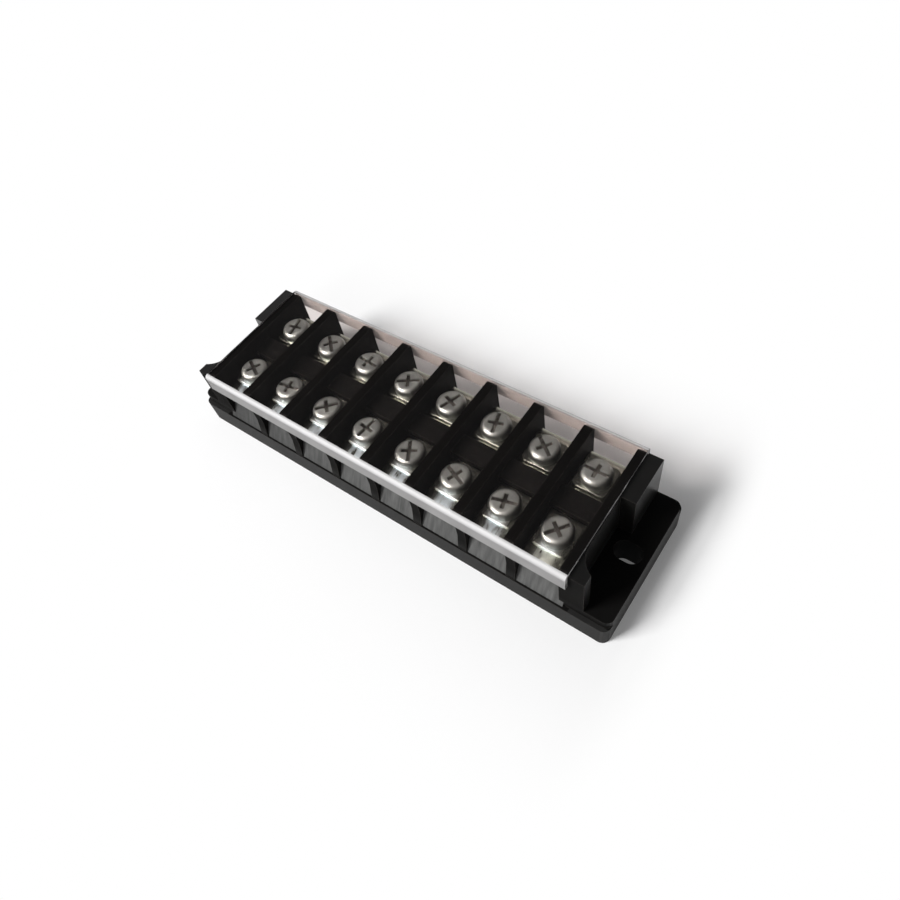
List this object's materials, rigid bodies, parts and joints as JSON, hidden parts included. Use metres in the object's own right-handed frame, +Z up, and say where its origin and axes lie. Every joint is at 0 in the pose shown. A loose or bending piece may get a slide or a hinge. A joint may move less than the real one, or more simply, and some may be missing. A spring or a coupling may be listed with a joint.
{
  "type": "terminal block",
  "caption": "Barrier terminal block: black moulded base with partitioned ways, clamp screws and square washers on bus plates, slotted end ears and a clear lift-off cover.",
  "frame": {"origin": "centre of the underside", "axes": "+X along the row of ways, +Y to the rear, +Z up, away from the mounting surface"},
  "size_m": [0.116, 0.0332, 0.0212],
  "materials": {
    "black_moulding": "satin black thermoset moulding",
    "clear_plastic": "clear glossy extruded plastic",
    "plated_brass": "nickel-plated brass strip",
    "plated_washer": "nickel-plated steel",
    "plated_screw": "bright nickel-plated steel"
  },
  "bodies": {
    "block": {"base": "black_moulding", "bus_plate_1": "plated_brass", "bus_plate_2": "plated_brass", "bus_plate_3": "plated_brass", "bus_plate_4": "plated_brass", "bus_plate_5": "plated_brass", "bus_plate_6": "plated_brass", "bus_plate_7": "plated_brass", "bus_plate_8": "plated_brass"},
    "cover": {"cover": "clear_plastic"},
    "front_washer_1": {"front_washer_1": "plated_washer"},
    "front_screw_1": {"front_screw_1": "plated_screw"},
    "front_washer_2": {"front_washer_2": "plated_washer"},
    "front_screw_2": {"front_screw_2": "plated_screw"},
    "front_washer_3": {"front_washer_3": "plated_washer"},
    "front_screw_3": {"front_screw_3": "plated_screw"},
    "front_washer_4": {"front_washer_4": "plated_washer"},
    "front_screw_4": {"front_screw_4": "plated_screw"},
    "front_washer_5": {"front_washer_5": "plated_washer"},
    "front_screw_5": {"front_screw_5": "plated_screw"},
    "front_washer_6": {"front_washer_6": "plated_washer"},
    "front_screw_6": {"front_screw_6": "plated_screw"},
    "front_washer_7": {"front_washer_7": "plated_washer"},
    "front_screw_7": {"front_screw_7": "plated_screw"},
    "front_washer_8": {"front_washer_8": "plated_washer"},
    "front_screw_8": {"front_screw_8": "plated_screw"},
    "rear_washer_1": {"rear_washer_1": "plated_washer"},
    "rear_screw_1": {"rear_screw_1": "plated_screw"},
    "rear_washer_2": {"rear_washer_2": "plated_washer"},
    "rear_screw_2": {"rear_screw_2": "plated_screw"},
    "rear_washer_3": {"rear_washer_3": "plated_washer"},
    "rear_screw_3": {"rear_screw_3": "plated_screw"},
    "rear_washer_4": {"rear_washer_4": "plated_washer"},
    "rear_screw_4": {"rear_screw_4": "plated_screw"},
    "rear_washer_5": {"rear_washer_5": "plated_washer"},
    "rear_screw_5": {"rear_screw_5": "plated_screw"},
    "rear_washer_6": {"rear_washer_6": "plated_washer"},
    "rear_screw_6": {"rear_screw_6": "plated_screw"},
    "rear_washer_7": {"rear_washer_7": "plated_washer"},
    "rear_screw_7": {"rear_screw_7": "plated_screw"},
    "rear_washer_8": {"rear_washer_8": "plated_washer"},
    "rear_screw_8": {"rear_screw_8": "plated_screw"}
  },
  "joints": [
    {"name": "cover_lift", "type": "slide", "parent": "block", "child": "cover", "axis": [0, 0, 1], "range_m": [0, 0.03]},
    {"name": "front_washer_1_rise", "type": "slide", "parent": "block", "child": "front_washer_1", "axis": [0, 0, 1], "range_m": [0, 0.0012]},
    {"name": "front_screw_1_turn", "type": "hinge", "parent": "front_washer_1", "child": "front_screw_1", "pos_m": [-0.042, -0.0076, 0.0156], "axis": [0, 0, 1], "range_deg": [0, 720]},
    {"name": "front_washer_2_rise", "type": "slide", "parent": "block", "child": "front_washer_2", "axis": [0, 0, 1], "range_m": [0, 0.0012]},
    {"name": "front_screw_2_turn", "type": "hinge", "parent": "front_washer_2", "child": "front_screw_2", "pos_m": [-0.03, -0.0076, 0.0156], "axis": [0, 0, 1], "range_deg": [0, 720]},
    {"name": "front_washer_3_rise", "type": "slide", "parent": "block", "child": "front_washer_3", "axis": [0, 0, 1], "range_m": [0, 0.0012]},
    {"name": "front_screw_3_turn", "type": "hinge", "parent": "front_washer_3", "child": "front_screw_3", "pos_m": [-0.018, -0.0076, 0.0156], "axis": [0, 0, 1], "range_deg": [0, 720]},
    {"name": "front_washer_4_rise", "type": "slide", "parent": "block", "child": "front_washer_4", "axis": [0, 0, 1], "range_m": [0, 0.0012]},
    {"name": "front_screw_4_turn", "type": "hinge", "parent": "front_washer_4", "child": "front_screw_4", "pos_m": [-0.006, -0.0076, 0.0156], "axis": [0, 0, 1], "range_deg": [0, 720]},
    {"name": "front_washer_5_rise", "type": "slide", "parent": "block", "child": "front_washer_5", "axis": [0, 0, 1], "range_m": [0, 0.0012]},
    {"name": "front_screw_5_turn", "type": "hinge", "parent": "front_washer_5", "child": "front_screw_5", "pos_m": [0.006, -0.0076, 0.0156], "axis": [0, 0, 1], "range_deg": [0, 720]},
    {"name": "front_washer_6_rise", "type": "slide", "parent": "block", "child": "front_washer_6", "axis": [0, 0, 1], "range_m": [0, 0.0012]},
    {"name": "front_screw_6_turn", "type": "hinge", "parent": "front_washer_6", "child": "front_screw_6", "pos_m": [0.018, -0.0076, 0.0156], "axis": [0, 0, 1], "range_deg": [0, 720]},
    {"name": "front_washer_7_rise", "type": "slide", "parent": "block", "child": "front_washer_7", "axis": [0, 0, 1], "range_m": [0, 0.0012]},
    {"name": "front_screw_7_turn", "type": "hinge", "parent": "front_washer_7", "child": "front_screw_7", "pos_m": [0.03, -0.0076, 0.0156], "axis": [0, 0, 1], "range_deg": [0, 720]},
    {"name": "front_washer_8_rise", "type": "slide", "parent": "block", "child": "front_washer_8", "axis": [0, 0, 1], "range_m": [0, 0.0012]},
    {"name": "front_screw_8_turn", "type": "hinge", "parent": "front_washer_8", "child": "front_screw_8", "pos_m": [0.042, -0.0076, 0.0156], "axis": [0, 0, 1], "range_deg": [0, 720]},
    {"name": "rear_washer_1_rise", "type": "slide", "parent": "block", "child": "rear_washer_1", "axis": [0, 0, 1], "range_m": [0, 0.0012]},
    {"name": "rear_screw_1_turn", "type": "hinge", "parent": "rear_washer_1", "child": "rear_screw_1", "pos_m": [-0.042, 0.0076, 0.0156], "axis": [0, 0, 1], "range_deg": [0, 720]},
    {"name": "rear_washer_2_rise", "type": "slide", "parent": "block", "child": "rear_washer_2", "axis": [0, 0, 1], "range_m": [0, 0.0012]},
    {"name": "rear_screw_2_turn", "type": "hinge", "parent": "rear_washer_2", "child": "rear_screw_2", "pos_m": [-0.03, 0.0076, 0.0156], "axis": [0, 0, 1], "range_deg": [0, 720]},
    {"name": "rear_washer_3_rise", "type": "slide", "parent": "block", "child": "rear_washer_3", "axis": [0, 0, 1], "range_m": [0, 0.0012]},
    {"name": "rear_screw_3_turn", "type": "hinge", "parent": "rear_washer_3", "child": "rear_screw_3", "pos_m": [-0.018, 0.0076, 0.0156], "axis": [0, 0, 1], "range_deg": [0, 720]},
    {"name": "rear_washer_4_rise", "type": "slide", "parent": "block", "child": "rear_washer_4", "axis": [0, 0, 1], "range_m": [0, 0.0012]},
    {"name": "rear_screw_4_turn", "type": "hinge", "parent": "rear_washer_4", "child": "rear_screw_4", "pos_m": [-0.006, 0.0076, 0.0156], "axis": [0, 0, 1], "range_deg": [0, 720]},
    {"name": "rear_washer_5_rise", "type": "slide", "parent": "block", "child": "rear_washer_5", "axis": [0, 0, 1], "range_m": [0, 0.0012]},
    {"name": "rear_screw_5_turn", "type": "hinge", "parent": "rear_washer_5", "child": "rear_screw_5", "pos_m": [0.006, 0.0076, 0.0156], "axis": [0, 0, 1], "range_deg": [0, 720]},
    {"name": "rear_washer_6_rise", "type": "slide", "parent": "block", "child": "rear_washer_6", "axis": [0, 0, 1], "range_m": [0, 0.0012]},
    {"name": "rear_screw_6_turn", "type": "hinge", "parent": "rear_washer_6", "child": "rear_screw_6", "pos_m": [0.018, 0.0076, 0.0156], "axis": [0, 0, 1], "range_deg": [0, 720]},
    {"name": "rear_washer_7_rise", "type": "slide", "parent": "block", "child": "rear_washer_7", "axis": [0, 0, 1], "range_m": [0, 0.0012]},
    {"name": "rear_screw_7_turn", "type": "hinge", "parent": "rear_washer_7", "child": "rear_screw_7", "pos_m": [0.03, 0.0076, 0.0156], "axis": [0, 0, 1], "range_deg": [0, 720]},
    {"name": "rear_washer_8_rise", "type": "slide", "parent": "block", "child": "rear_washer_8", "axis": [0, 0, 1], "range_m": [0, 0.0012]},
    {"name": "rear_screw_8_turn", "type": "hinge", "parent": "rear_washer_8", "child": "rear_screw_8", "pos_m": [0.042, 0.0076, 0.0156], "axis": [0, 0, 1], "range_deg": [0, 720]}
  ],
  "couplings": [
    {"joint": "front_screw_1_turn", "follows": "front_washer_1_rise", "rad_per_m": 10472},
    {"joint": "front_screw_2_turn", "follows": "front_washer_2_rise", "rad_per_m": 10472},
    {"joint": "front_screw_3_turn", "follows": "front_washer_3_rise", "rad_per_m": 10472},
    {"joint": "front_screw_4_turn", "follows": "front_washer_4_rise", "rad_per_m": 10472},
    {"joint": "front_screw_5_turn", "follows": "front_washer_5_rise", "rad_per_m": 10472},
    {"joint": "front_screw_6_turn", "follows": "front_washer_6_rise", "rad_per_m": 10472},
    {"joint": "front_screw_7_turn", "follows": "front_washer_7_rise", "rad_per_m": 10472},
    {"joint": "front_screw_8_turn", "follows": "front_washer_8_rise", "rad_per_m": 10472},
    {"joint": "rear_screw_1_turn", "follows": "rear_washer_1_rise", "rad_per_m": 10472},
    {"joint": "rear_screw_2_turn", "follows": "rear_washer_2_rise", "rad_per_m": 10472},
    {"joint": "rear_screw_3_turn", "follows": "rear_washer_3_rise", "rad_per_m": 10472},
    {"joint": "rear_screw_4_turn", "follows": "rear_washer_4_rise", "rad_per_m": 10472},
    {"joint": "rear_screw_5_turn", "follows": "rear_washer_5_rise", "rad_per_m": 10472},
    {"joint": "rear_screw_6_turn", "follows": "rear_washer_6_rise", "rad_per_m": 10472},
    {"joint": "rear_screw_7_turn", "follows": "rear_washer_7_rise", "rad_per_m": 10472},
    {"joint": "rear_screw_8_turn", "follows": "rear_washer_8_rise", "rad_per_m": 10472}
  ]
}
